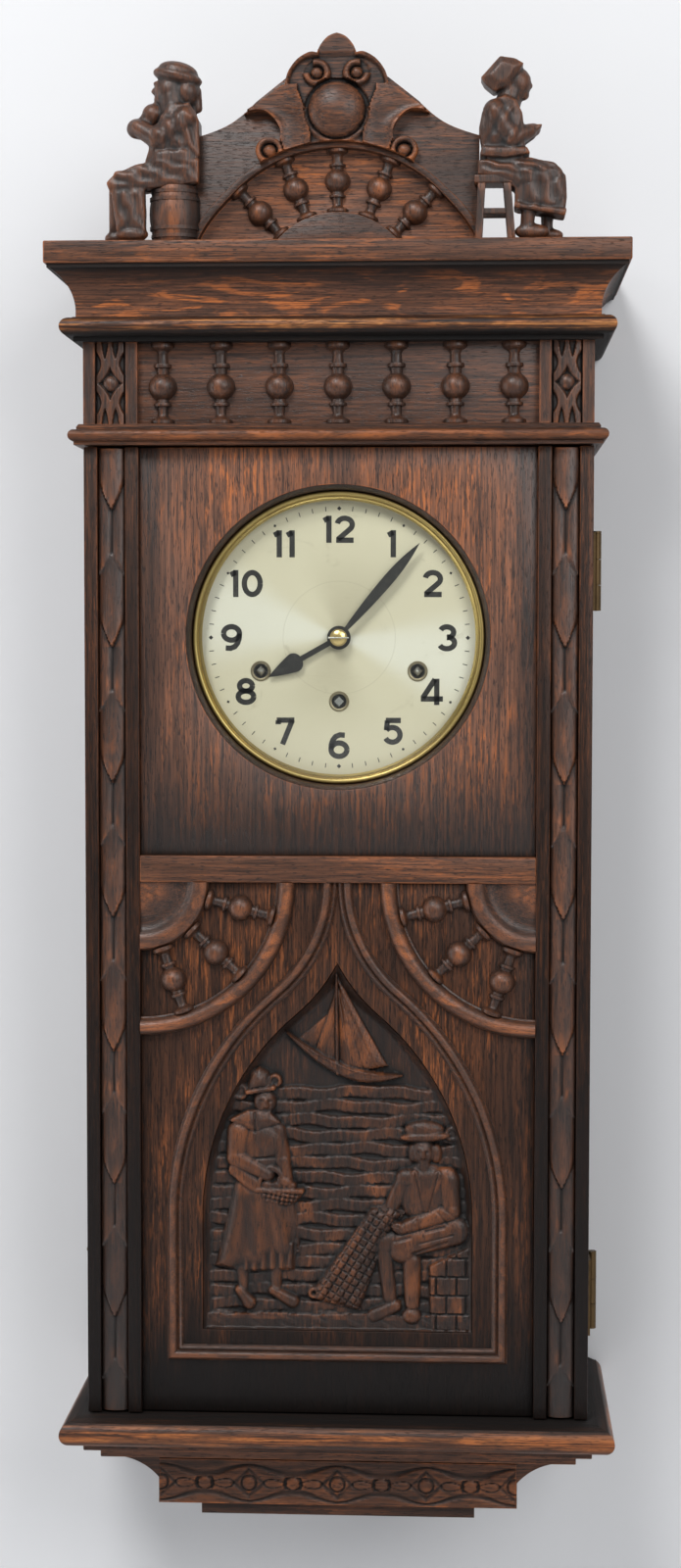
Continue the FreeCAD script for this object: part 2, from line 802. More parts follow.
def make_crest():
    """Leaf-topped scroll cartouche with its domed boss."""
    top, boss = float(d.crest_top), float(d.cabochon_height)
    rim = float(d.cabochon_radius)
    outline = symmetric([
        (0, boss - 1.3 * rim), (1.75 * rim, boss - 1.1 * rim), (2.15 * rim, boss - 1.45 * rim),
        (2.6 * rim, boss - 1.85 * rim, 2.95 * rim, boss - 1.4 * rim),
        (2.85 * rim, boss - 0.6 * rim, 3.1 * rim, boss + 0.15 * rim),
        (2.4 * rim, boss + 0.8 * rim), (2.0 * rim, boss + 0.95 * rim),
        (1.75 * rim, boss + 1.75 * rim, 0.9 * rim, boss + 2.05 * rim),
        (0.75 * rim, boss + 2.55 * rim, 0, top),
    ])
    front = pediment_front - d.crest_thickness
    carving = front_prism(above_shelf(outline), pediment_front, front)
    under = fan_disc(d.fan_radius + d.fan_rim_width, pediment_front, front)
    carving = max(carving.cut(under).Solids, key=lambda solid: solid.Volume)
    dome = float(d.cabochon_dome)
    section = [(0, 0), (rim, 0), cap_middle(rim, dome) + (0, dome)]
    button = closed_face(section, lambda u, v: vec(u, 0, v)).revolve(vec(0, 0, 0), vec(0, 0, 1), 360)
    button.rotate(FreeCAD.Vector(), FreeCAD.Vector(1, 0, 0), 90)
    button.translate(vec(0, front, boss + float(shelf_top)))
    node(shaped("crest_carving", joined([carving, button])))


def seated_figure(name, limbs, seat):
    """A carved seated figure from tapering limbs on its seat, cut level with the shelf."""
    shelf = float(shelf_top)
    size = float(d.figure_height) / DRAWN_FIGURE
    shapes = list(seat)
    for start, end, r, q in limbs:
        shapes.append(tapered(start, end, 0.97 * r * DRAWN_GIRTH, q * DRAWN_GIRTH))
    figure = joined(shapes)
    end = DRAWN_PEDIMENT if figure.CenterOfMass.x > 0 else -DRAWN_PEDIMENT
    figure.translate(vec(-end, 0, 0))
    figure.scale(size)
    place = float(d.pediment_half_width + d.figure_gap)
    figure.translate(vec(math.copysign(place, end), pediment_front, shelf))
    box = figure.BoundBox
    below = Part.makeBox(box.XLength + 2, box.YLength + 2, 100, vec(box.XMin - 1, box.YMin - 1, shelf - 100))
    node(shaped(name, max(figure.cut(below).Solids, key=lambda solid: solid.Volume)))


def make_figures():
    """Limbs are drawn from the shelf's centre at full size, with radii as shares of the girth."""
    barrel = tapered((-104, 0, 8), (-104, 0, 19), 12.5, 15)
    barrel = barrel.fuse(tapered((-104, 0, 19), (-104, 0, 31), 14.5, 12))
    man = [
        ((-95, 0, 46), (-98, 0, 78), 1.15, 0.95),
        ((-98, 0, 84), (-104, 0, 92), 0.45, 0.5),
        ((-106, 0, 98), (-104, 0, 102), 0.78, 0.78),
        ((-112, 0, 109), (-93, 0, 106), 0.4, 0.62),
        ((-98, -8, 79), (-110, -9, 63), 0.48, 0.4),
        ((-110, -9, 63), (-126, -5, 76), 0.4, 0.34),
        ((-98, 8, 79), (-112, 8, 68), 0.45, 0.36),
        ((-112, 8, 68), (-121, 3, 83), 0.34, 0.3),
        ((-96, -6, 44), (-135, -7, 40), 0.66, 0.55),
        ((-96, 6, 43), (-133, 7, 38), 0.66, 0.5),
        ((-135, -7, 40), (-130, -7, 6), 0.55, 0.4),
        ((-133, 7, 38), (-127, 7, 6), 0.5, 0.4),
        ((-130, -7, 3.5), (-142, -8, 3), 0.42, 0.34),
        ((-127, 7, 3.5), (-138, 8, 3), 0.42, 0.34),
    ]
    seated_figure("barrel_sitter", man, [barrel])
    stool = [Part.makeBox(30, 22, 4.5, vec(87, -11, 36))]
    for x in (90.5, 111):
        for y in (-8, 8):
            stool.append(Part.makeCylinder(1.7, 38, vec(x, y, 0)))
    woman = [
        ((98, 0, 46), (105, 0, 78), 1.1, 0.85),
        ((105, 0, 84), (112, 0, 92), 0.4, 0.42),
        ((115, 0, 98), (114, 0, 101), 0.66, 0.66),
        ((101, 0, 101), (110, 0, 110), 0.55, 0.7),
        ((101, -8, 79), (111, -9, 63), 0.46, 0.4),
        ((111, -9, 63), (125, -4, 72), 0.38, 0.3),
        ((102, 8, 79), (112, 8, 64), 0.44, 0.38),
        ((112, 8, 64), (125, 4, 72), 0.36, 0.3),
        ((122, -4, 73), (132, -4, 72), 0.22, 0.2),
        ((98, -4, 46), (136, -5, 40), 0.85, 0.72),
        ((98, 4, 46), (136, 5, 40), 0.85, 0.72),
        ((136, -5, 40), (133, -6, 22), 0.72, 0.95),
        ((136, 5, 40), (133, 6, 22), 0.72, 0.95),
        ((128, -5, 22), (122, -5, 4), 0.5, 0.36),
        ((132, 5, 22), (132, 5, 4), 0.5, 0.36),
        ((121, -5, 3.4), (132, -5, 3), 0.36, 0.3),
        ((131, 5, 3.4), (141, 5, 3), 0.36, 0.3),
    ]
    seated_figure("stool_sitter", woman, stool)


def make_frieze_spindles():
    turnings = []
    spacing = (half_case - d.frieze_block_width - d.spindle_end_margin) * (2 / (FRIEZE_SPINDLES - 1))
    for place in range(-3, 4):
        spindle = half_turning(spindle_outline(d.frieze_height, d.spindle_ball, d.spindle_cap, d.spindle_neck))
        spindle.translate(vec(place * spacing, frieze_face, frieze_bottom))
        turnings.append(spindle)
    node(shaped("frieze_spindles", Part.makeCompound(turnings)))


# Door

leaf_middle = half_case - d.stile_width / 2


def make_door_frame():
    stiles = []
    for name, sign in (("left_stile", -1), ("right_stile", 1)):
        edges = sorted((sign * half_case, sign * panel_half), key=float)
        blank = block(name + "_blank", edges, (door_front, door_back), (door_bottom, door_top))
        middle = sign * leaf_middle
        channel = block(name + "_channel", (middle - d.leaf_channel_width / 2, middle + d.leaf_channel_width / 2),
                        (door_front, door_front + d.leaf_channel_depth), (door_bottom, door_top))
        stiles.append(cut(name, blank, [channel]))
    node(group("door_stiles", stiles))
    seat = float(door_front + d.leaf_channel_depth)
    half = float(d.leaf_channel_width / 2 - d.leaf_strip_clearance)
    shoulder = float(door_front) + 0.55 * float(d.leaf_channel_depth)
    crown = float(door_front - d.leaf_crown)
    strips = []
    for sign in (-1, 1):
        middle = sign * float(leaf_middle)
        outline = [(middle - half, seat), (middle + half, seat), (middle + half, shoulder),
                   (middle, crown, middle - half, shoulder)]
        face = closed_face(outline, lambda u, v: vec(u, v, door_bottom))
        strips.append(face.extrude(vec(0, 0, d.door_height)))
    node(shaped("leaf_strips", Part.makeCompound(strips)))
    node(plate("upper_panel", [[(-panel_half, rail_top), (panel_half, rail_top), (panel_half, door_top),
                                (-panel_half, door_top)]],
               [(as_size(0), dial_z, d.dial_opening_radius)], panel_back, d.panel_thickness))
    node(block("middle_rail", (-panel_half, panel_half), (door_front, panel_back), (rail_bottom, rail_top)))


def arch_centres():
    """Centres and radii of the ogee's hollow upper arc and round lower arc, for the right half."""
    top = float(d.arch_top_gap)
    width, drop = float(arch_half_width), float(d.arch_spring_drop)
    upper = float(d.arch_upper_radius)
    both = ((width - top) ** 2 + drop ** 2) / (2 * (width - top))
    lower = both - upper
    level = float(rail_bottom)
    return (top + upper, level), upper, (width - lower, level - drop), lower


def ogee_outline(margin, foot, clearance):
    """The relief field inside the arch bead, as a symmetric outline."""
    (ux, uz), upper, (lx, lz), lower = arch_centres()
    r, q = upper + margin, lower - margin
    side = lx + q - clearance
    apex = uz - math.sqrt(r * r - ux * ux) - clearance
    turn = math.atan2(uz - lz, ux - lx)
    meet = (lx + q * math.cos(turn) - clearance, lz + q * math.sin(turn) - clearance)
    start = math.pi + math.atan2(uz - apex, ux)
    stop = math.pi + turn
    middle = (start + stop) / 2
    hollow = (ux + r * math.cos(middle) - clearance, uz + r * math.sin(middle) - clearance)
    bulge = (lx + q * math.cos(turn / 2) - clearance, lz + q * math.sin(turn / 2))
    return symmetric([(0, foot + clearance), (side, foot + clearance), (side, lz),
                      (bulge[0], bulge[1], meet[0], meet[1]), (hollow[0], hollow[1], 0, apex)])


def make_arch():
    """Half-round bead along the ogee, down both sides and across the foot."""
    (ux, uz), upper, (lx, lz), lower = arch_centres()
    r = float(d.arch_bead_radius)
    face_y = float(panel_front)
    turn = math.atan2(uz - lz, ux - lx)

    def half_disc(x, z):
        section = [(x - r, face_y), (x, face_y - r, x + r, face_y)]
        return closed_face(section, lambda u, v: vec(u, v, z))

    width = float(arch_half_width)
    foot = float(arch_foot)
    spin = FreeCAD.Vector(0, 1, 0)
    hollow = half_disc(ux - upper, uz).revolve(vec(ux, 0, uz), spin, -math.degrees(turn))
    bulge = half_disc(lx + lower, lz).revolve(vec(lx, 0, lz), spin, -math.degrees(turn))
    leg = half_disc(width, lz).extrude(vec(0, 0, foot - r - lz))
    section = [(foot - r, face_y), (foot, face_y - r, foot + r, face_y)]
    bar_face = closed_face(section, lambda u, v: vec(-width - r, v, u))
    sill = bar_face.extrude(vec(2 * (width + r), 0, 0))
    sides = [hollow, bulge, leg]
    node(shaped("arch_bead", joined(sides + [mirrored(side) for side in sides] + [sill])))


def make_lower_panel():
    floor = panel_front + d.relief_recess
    foot = float(arch_foot + d.relief_sill)
    outline = ogee_outline(float(d.relief_margin), foot, 0.0)
    board = block("lower_panel_blank", (-panel_half, panel_half), (panel_front, panel_back),
                  (door_bottom, rail_bottom))
    field = shaped("relief_field", front_prism(outline, floor, panel_front))
    node(cut("lower_panel", board, [field]))


def make_relief():
    """Carved fisherfolk scene on its own ground board: boat, sea, standing and seated figures."""
    floor = panel_front + d.relief_recess
    foot = float(arch_foot + d.relief_sill)
    clearance = float(d.relief_clearance)
    ground = floor - d.relief_ground
    slab = front_prism(ogee_outline(float(d.relief_margin), foot, clearance), floor, ground)
    shapes = [slab]
    height = float(d.relief_recess) - float(d.relief_ground)
    wide = slab.BoundBox.XMax / DRAWN_FIELD[0]
    tall = slab.BoundBox.ZLength / DRAWN_FIELD[1]

    def form(rise, outline):
        corners = [tuple(n * tall + foot if i % 2 else n * wide for i, n in enumerate(step)) for step in outline]
        shapes.append(front_prism(corners, ground, float(ground) - rise * height))

    form(0.35, [(-86, 0.4), (86, 0.4), (86, 9), (-86, 9)])
    for k in range(7):
        z = 82 + 9 * k
        form(0.2, [(-60 + 4 * k, z), (0, z + 3, 60 - 4 * k, z), (60 - 4 * k, z + 4), (0, z + 6.5, -60 + 4 * k, z + 4)])
    form(0.6, [(-31, 196), (0, 180, 40, 180), (34, 170), (0, 163, -22, 178)])
    form(0.45, [(-16, 185), (1, 236), (9, 176)])
    form(0.5, [(4, 178), (3, 234), (33, 180)])
    form(0.9, [(-76, 36), (-50, 31, -26, 37), (-33, 62), (-38, 90), (-59, 90), (-68, 62)])
    form(1.0, [(-62, 88), (-37, 88), (-35, 112), (-42, 131), (-56, 131), (-66, 112)])
    form(1.1, [(-57, 139), (-49, 129, -41, 139), (-49, 152, -57, 139)])
    form(1.15, [(-60, 84), (-44, 76, -28, 86), (-30, 97), (-44, 91, -58, 96)])
    form(0.9, [(-66, 9), (-54, 9), (-52, 34), (-62, 34)])
    form(0.9, [(-47, 9), (-31, 9), (-33, 34), (-44, 34)])
    form(0.8, [(58, 4), (88, 4), (88, 48), (58, 48)])
    form(1.0, [(44, 58), (82, 58), (79, 90), (68, 104), (54, 104), (45, 92)])
    form(1.1, [(47, 116), (55, 104, 63, 116), (55, 127, 47, 116)])
    form(1.2, [(43, 118), (56, 131, 72, 120), (56, 115, 43, 118)])
    form(1.1, [(33, 50), (82, 44), (84, 66), (40, 70)])
    form(1.0, [(33, 12), (52, 12), (54, 52), (40, 56)])
    form(0.9, [(54, 12), (66, 12), (66, 46), (56, 46)])
    form(0.6, [(-18, 12), (14, 8), (36, 60), (40, 72), (22, 70)])
    node(shaped("relief_carving", joined(shapes)))


def make_corner_fans():
    """Quarter fans in the panel's upper corners: dished disc, bead arc and three spindles each."""
    level = float(rail_bottom)
    face_y = float(panel_front)
    edge = float(panel_half)
    spin = FreeCAD.Vector(0, 1, 0)
    ring, bead = float(d.corner_arc_radius), float(d.corner_arc_bead)
    disc, rim, rise = float(d.corner_disc_radius), float(d.corner_disc_rim), float(d.corner_disc_height)

    def quarter(section, height):
        face = closed_face(section, lambda u, v: vec(-edge + u, face_y - v, level))
        return face.revolve(vec(-edge, 0, level), spin, 90)

    arc = quarter([(ring - bead, 0), (ring, bead, ring + bead, 0)], bead)
    dish = quarter([(0, 0), (disc, 0), (disc, 0.5 * rise), (disc - 0.5 * rim, rise, disc - rim, 0.5 * rise),
                    (0.5 * disc, 0.25 * rise), (0.22 * disc, 0.85 * rise), (0, rise)], rise)
    pieces = [arc, dish]
    for angle in (14.5, 43.0, 71.5):
        length = ring - bead - disc
        spindle = half_turning(spindle_outline(length, d.fan_ball, d.fan_cap, d.fan_neck))
        spindle.translate(vec(0, face_y, disc))
        spindle.rotate(FreeCAD.Vector(), spin, 90 + angle)
        spindle.translate(vec(-edge, 0, level))
        reach = bar((-edge, level), (face_y + 1, face_y - 20), ring - bead)
        core = bar((-edge, level), (face_y + 1, face_y - 20), disc)
        spindle = spindle.common(reach).cut(core)
        pieces.append(max(spindle.Solids, key=lambda solid: solid.Volume))
    both = pieces + [mirrored(piece) for piece in pieces]
    node(shaped("corner_mouldings", Part.makeCompound(both[0:2] + both[5:7])))
    node(shaped("corner_spindles", Part.makeCompound(both[2:5] + both[7:])))


def make_bezel():
    """Spun brass ring flanged on the panel's back, with the convex glass under its lip."""
    outer, sight, wall = d.bezel_radius, d.bezel_sight_radius, d.bezel_wall
    ring = turned("bezel", [
        (outer - wall, as_size(0)), (outer - wall, d.bezel_projection - wall), (sight, d.bezel_projection - wall),
        (sight, d.bezel_projection), (outer, d.bezel_projection), (outer, as_size(0)),
        (d.bezel_flange_radius, as_size(0)), (d.bezel_flange_radius, -d.bezel_flange),
        (outer - wall, -d.bezel_flange),
    ])
    ring.Placement = FreeCAD.Placement(FreeCAD.Vector(), FreeCAD.Rotation(FreeCAD.Vector(1, 0, 0), 90))
    bind_place(ring, as_size(0), panel_back, dial_z)
    node(ring)
    lip = float(panel_back - d.bezel_projection + d.bezel_wall)
    radius = float(outer - wall) - 0.3
    rise, thick = float(d.glass_rise), float(d.glass_thickness)
    dome = radius - 2.5 * thick
    reach = float(sight) - 0.3
    inner, level = cap_middle(dome, rise)
    section = [(0, rise - thick), (inner, level - thick, dome, -thick), (radius, -thick), (radius, 0),
               (reach, 0), cap_middle(reach, rise) + (0, rise)]
    face = closed_face(section, lambda u, v: vec(u, lip - v, dial_z))
    glass = face.revolve(vec(0, 0, dial_z), FreeCAD.Vector(0, 1, 0), 360)
    node(shaped("dial_glass", glass))


hinge_x = half_case + d.hinge_offset
hinge_y = carcass_front - d.seam_gap / 2


def hinge_leaf(name, height, toward, segments):
    """One hinge leaf on the outer right face with its knuckle segments, bored for the pin."""
    r, play = d.hinge_knuckle_radius, d.hinge_play
    low = height - d.hinge_height / 2
    third = d.hinge_height / 3
    skin = (half_case, half_case + d.hinge_leaf_thickness)
    far = hinge_y + toward * d.hinge_leaf_width
    near = hinge_y + toward * (r + 2 * play)
    pieces = [block(name + "_leaf", skin, sorted((far, near), key=float), (low, low + d.hinge_height))]
    for k in segments:
        span = (low + k * third + play / 2, low + (k + 1) * third - play / 2)
        pieces.append(block(f"{name}_tongue_{k}", skin, sorted((near, hinge_y), key=float), span))
        pieces.append(rod(f"{name}_knuckle_{k}", "Z", (hinge_x, hinge_y), span, r))
    bore = rod(name + "_bore", "Z", (hinge_x, hinge_y), (low, low + d.hinge_height),
               d.hinge_pin_radius + d.running_clearance)
    return cut(name + "_cut", fuse(name + "_blank", pieces), [bore])


def make_hinges():
    heights = (door_bottom + d.hinge_end_distance, door_top - d.hinge_end_distance)
    case_side, door_side, pins = [], [], []
    for name, height in zip(("lower", "upper"), heights):
        case_side.append(hinge_leaf(f"{name}_case_hinge", height, 1, (0, 2)))
        door_side.append(hinge_leaf(f"{name}_door_hinge", height, -1, (1,)))
        half = d.hinge_height / 2
        shank = rod(f"{name}_pin_shank", "Z", (hinge_x, hinge_y), (height - half, height + half),
                    d.hinge_pin_radius)
        head = rod(f"{name}_pin_head", "Z", (hinge_x, hinge_y),
                   (height + half, height + half + d.hinge_pin_radius), d.hinge_knuckle_radius)
        pins.append(fuse(f"{name}_pin", [shank, head]))
    node(group("hinge_case_leaves", case_side + pins))
    node(group("hinge_door_leaves", door_side))


def make_catch():
    """Domed pull on the door's left edge, and the stud and brass clip that hold the door shut."""
    height = float(door_bottom + d.pull_height)
    radius, proud = float(d.pull_radius), float(d.pull_projection)
    section = [(0, 0), (radius, 0), cap_middle(radius, proud) + (0, proud)]
    dome = closed_face(section, lambda u, v: vec(u, 0, v)).revolve(vec(0, 0, 0), vec(0, 0, 1), 360)
    dome.rotate(FreeCAD.Vector(), FreeCAD.Vector(0, 1, 0), -90)
    dome.translate(vec(-half_case, (float(door_front) + float(door_back)) / 2, height))
    knob = shaped("pull_dome", dome)
    level = door_bottom + d.pull_height
    x = 4 * d.catch_stud_radius - inner_half
    stud = rod("catch_stud", "Y", (x, level), (door_back, door_back + d.catch_stud_length), d.catch_stud_radius)
    node(group("door_pull", [knob, stud]))
    leaf = d.catch_stud_radius
    depth = (carcass_front + d.seam_gap, carcass_front + d.catch_stud_length)
    inner = d.catch_stud_radius + d.catch_play
    wall = -inner_half
    pieces = [block("catch_base", (wall, wall + leaf / 2), depth, (level - inner - leaf, level + inner + leaf))]
    reach = (wall, x + d.catch_stud_radius)
    pieces.append(block("catch_upper", reach, depth, (level + inner, level + inner + leaf / 2)))
    pieces.append(block("catch_lower", reach, depth, (level - inner - leaf / 2, level - inner)))
    node(fuse("catch_clip", pieces))


# Dial and hands

centre_axis = (as_size(0), dial_z)
time_axis = (as_size(0), dial_z - (GREAT_TEETH + CENTRE_PINION) / 2 * d.train_module)
strike_axis = (-d.winding_side, dial_z - d.winding_drop)
chime_axis = (d.winding_side, dial_z - d.winding_drop)
winding_axes = {"time": time_axis, "strike": strike_axis, "chime": chime_axis}


def make_dial():
    holes = [(x, z, d.grommet_hole) for x, z in winding_axes.values()]
    holes.append((as_size(0), dial_z, d.dial_pipe_hole))
    disc = plate("dial_plate", [], [(as_size(0), dial_z, d.dial_radius)] + holes, dial_back, d.dial_thickness)
    reach = d.dial_foot_circle * math.sqrt(0.5)
    feet = []
    for i, (sx, sz) in enumerate(((-1, 1), (1, 1), (-1, -1), (1, -1))):
        feet.append(rod(f"dial_foot_{i}", "Y", (sx * reach, dial_z + sz * reach), (dial_back, plate_front),
                        d.dial_foot_radius))
    node(fuse("dial", [disc] + feet))
    rings = []
    for name, axis in winding_axes.items():
        collar = rod(f"{name}_collar", "Y", axis, (dial_front - d.grommet_proud, dial_front), d.grommet_radius)
        sleeve = rod(f"{name}_sleeve", "Y", axis, (dial_front, dial_back), d.grommet_hole)
        bore = rod(f"{name}_grommet_bore", "Y", axis, (dial_front - d.grommet_proud, dial_back), d.grommet_bore)
        rings.append(cut(f"{name}_grommet", fuse(f"{name}_grommet_blank", [collar, sleeve]), [bore]))
    node(group("winding_grommets", rings))


# Shares of a hand's length at the end of its stem, its shoulder and its widest place, and shares of its
# half width at the shoulder and half way from the widest place to the point.
HOUR_LEAF = {"stem": 0.53, "shoulder": 0.564, "widest": 0.645, "shoulder_width": 0.79, "side_width": 0.56}
MINUTE_LEAF = {"stem": 0.1, "shoulder": 0.36, "widest": 0.62, "shoulder_width": 0.847, "side_width": 0.75}


def hand(length, width, boss, stem, leaf, bore, back, angle):
    """A hand along +Z from its boss: stem, leaf-shaped blade and point, bored for its pipe."""
    z = float(dial_z)
    n, w, s = float(length), float(width) / 2, float(stem)
    shoulder, side = (leaf["shoulder_width"] * w, leaf["shoulder"] * n), leaf["side_width"] * w
    belly, end = leaf["widest"] * n, leaf["stem"] * n
    half_way = (belly + n) / 2
    blade = [(-s, 0), (s, 0), (s, end), (shoulder[0], shoulder[1], w, belly), (side, half_way, 0, n),
             (-side, half_way, -w, belly), (-shoulder[0], shoulder[1], -s, end)]
    front = float(back) - float(d.hand_thickness)
    shape = front_prism(blade, back, front).fuse(bar((0, 0), (back, front), boss))
    shape = shape.cut(bar((0, 0), (back, front), bore)).removeSplitter()
    shape.rotate(FreeCAD.Vector(), FreeCAD.Vector(0, 1, 0), angle)
    shape.translate(vec(0, 0, z))
    return shape


HOUR_ANGLE = 240.8
MINUTE_ANGLE = 40.6
cannon_bore = d.centre_arbor_radius + d.running_clearance
cannon_radius = cannon_bore + d.cannon_wall
pipe_bore = cannon_radius + d.running_clearance
pipe_radius = pipe_bore + d.hour_pipe_wall
hour_hand_back = dial_front - d.hour_hand_lift
minute_hand_back = dial_front - d.minute_hand_lift
minute_hand_front = minute_hand_back - d.hand_thickness
hand_nut_front = minute_hand_front - d.hand_nut_height


def make_hands():
    shape = hand(d.hour_hand_length, d.hour_hand_width, d.hand_boss_radius, 0.14 * d.hour_hand_width,
                 HOUR_LEAF, pipe_radius, hour_hand_back, HOUR_ANGLE)
    node(shaped("hour_hand", shape))
    shape = hand(d.minute_hand_length, d.minute_hand_width, d.hand_boss_radius * 0.85,
                 0.2 * d.minute_hand_width, MINUTE_LEAF, cannon_radius, minute_hand_back, MINUTE_ANGLE)
    node(shaped("minute_hand", shape))


# Movement

motion_low = plate_front - 0.5 * d.wheel_end_gap - d.wheel_thickness
cannon_span = (motion_low, motion_low + d.wheel_thickness)
upper_span = (motion_low - 1.25 * d.wheel_thickness, motion_low - 0.25 * d.wheel_thickness)


def train_points():
    """Arbor places of the third and escape wheels, from the centre distances of their gears."""
    first = (CENTRE_TEETH + THIRD_PINION) / 2 * float(d.centre_module)
    second = (THIRD_TEETH + ESCAPE_PINION) / 2 * float(d.third_module)
    top = float(d.escape_height)
    z = (first ** 2 - second ** 2 + top ** 2) / (2 * top)
    x = math.sqrt(first ** 2 - z ** 2)
    level = float(dial_z)
    return (x, level + z), (0.0, level + top)


third_axis, escape_axis = train_points()
pallet_axis = (as_size(0), dial_z + d.escape_height + d.pallet_distance)
minute_axis = ((CANNON_TEETH + MINUTE_TEETH) / 2 * d.motion_module, dial_z)


def make_plates():
    left, right = -d.plate_width / 2, d.plate_width / 2
    low, high = dial_z - d.plate_below, dial_z + d.plate_above
    outline = [(left, low), (right, low), (right, high), (left, high)]
    fit = d.running_clearance
    pivots = [(as_size(x), as_size(z), d.pivot_radius + fit) for x, z in (third_axis, escape_axis)]
    arbors = [(x, z, d.barrel_arbor + fit) for x, z in winding_axes.values()]
    arbors.append((as_size(0), dial_z, d.centre_arbor_radius + fit))
    front_holes = pivots + arbors + [(pallet_axis[0], pallet_axis[1], d.pivot_radius + fit)]
    rear_holes = pivots + arbors + [(pallet_axis[0], pallet_axis[1], d.train_arbor_radius + fit)]
    front = plate("front_plate", [outline], front_holes, plate_inner, d.plate_thickness)
    stud = rod("motion_stud", "Y", minute_axis, (upper_span[0] - d.pivot_radius, plate_front), d.pivot_radius)
    frame = [
        fuse("front_plate_and_stud", [front, stud]),
        plate("back_plate", [outline], rear_holes, back_plate_rear, d.plate_thickness),
    ]
    pillars = []
    for i, (sx, sz) in enumerate(((-1, 1), (1, 1), (-1, -1), (1, -1))):
        x = sx * (d.plate_width / 2 - d.pillar_inset)
        z = (high if sz > 0 else low) - sz * d.pillar_inset
        pillars.append(rod(f"pillar_{i}", "Y", (x, z), (plate_inner, back_plate_inner), d.pillar_radius))
        pillars.append(rod(f"pillar_nut_{i}", "Y", (x, z), (back_plate_rear, back_plate_rear + d.pillar_nut_height),
                           d.pillar_nut_radius))
    node(block("seat_board", (-inner_half, inner_half),
               (plate_front - d.seat_front_margin, back_plate_rear + d.seat_back_margin),
               (low - d.seat_thickness, low)))
    post = pallet_axis[1]
    rear = back_plate_rear + d.pendulum_behind_plate
    width = 4.5 * d.suspension_pin_radius
    arm = block("cock_arm", (-width, width), (back_plate_rear, rear + 7 * d.suspension_pin_radius),
                (post + 3.5 * d.suspension_pin_radius, high))
    leg = block("cock_leg", (-width, width), (rear + 5 * d.suspension_pin_radius, rear + 7 * d.suspension_pin_radius),
                (post - 3 * d.suspension_pin_radius, high))
    pin = rod("cock_pin", "Y", (as_size(0), post),
              (rear - 3 * d.suspension_pin_radius, rear + 5 * d.suspension_pin_radius), d.suspension_pin_radius)
    node(group("movement_frame", frame + pillars + [fuse("pendulum_cock", [arm, leg, pin])]))


great_span = (plate_inner + d.wheel_end_gap, plate_inner + d.wheel_end_gap + d.great_wheel_thickness)
centre_span = (back_plate_inner - d.wheel_end_gap - d.wheel_thickness, back_plate_inner - d.wheel_end_gap)
third_span = (plate_inner + 0.48 * d.plate_gap, plate_inner + 0.48 * d.plate_gap + d.wheel_thickness)
escape_span = (plate_inner + 0.72 * d.plate_gap, plate_inner + 0.72 * d.plate_gap + d.wheel_thickness)


def widened(span, amount):
    return span[0] - amount, span[1] + amount


def make_barrels():
    """Spring barrels: the going barrel turns on its winding arbor, the other two with theirs."""
    fit = float(d.running_clearance)
    direction = math.pi / 2
    phase = mesh_phase(0.0, CENTRE_PINION, GREAT_TEETH, -direction)
    wheel = gear(GREAT_TEETH, d.train_module, -PINION_SHIFT, phase, time_axis, great_span)
    drum_end = great_span[1] + d.barrel_length
    drum = bar(time_axis, (great_span[1], drum_end), d.barrel_radius)
    going = wheel.fuse(drum).cut(bar(time_axis, (great_span[0], drum_end), d.barrel_arbor + fit))
    node(shaped("time_barrel", going.removeSplitter()))
    node(shaped("time_winder", winding_arbor(time_axis)))
    for name, axis in (("strike_barrel", strike_axis), ("chime_barrel", chime_axis)):
        start = great_span[1] + d.wheel_end_gap
        drum = bar(axis, (start, start + d.barrel_length), d.barrel_radius)
        rim = bar(axis, (start + d.barrel_length, start + d.barrel_length + d.great_wheel_thickness),
                  d.barrel_radius + 4 * d.great_wheel_thickness / 3)
        node(shaped(name, winding_arbor(axis).multiFuse([drum, rim]).removeSplitter()))


def winding_arbor(axis):
    """A winding arbor with its ratchet in front of the plate and its square behind the dial."""
    shank = bar(axis, (plate_front - 0.5 * d.wheel_end_gap - d.wheel_thickness, back_plate_rear), d.barrel_arbor)
    span = (plate_front - 0.5 * d.wheel_end_gap - d.wheel_thickness, plate_front - 0.5 * d.wheel_end_gap)
    radius = float(d.ratchet_radius)
    corners = []
    for k in range(RATCHET_TEETH):
        angle = 2 * math.pi * k / RATCHET_TEETH
        step = 2 * math.pi / RATCHET_TEETH
        corners.append((radius * math.cos(angle), radius * math.sin(angle)))
        corners.append((0.86 * radius * math.cos(angle + 0.1 * step), 0.86 * radius * math.sin(angle + 0.1 * step)))
    outline = [(u + float(axis[0]), v + float(axis[1])) for u, v in corners]
    ratchet = front_prism(outline, span[0], span[1])
    square = square_bar(axis, (span[0], dial_front + 0.5 * d.dial_thickness), d.winding_square)
    return shank.multiFuse([ratchet, square]).removeSplitter()


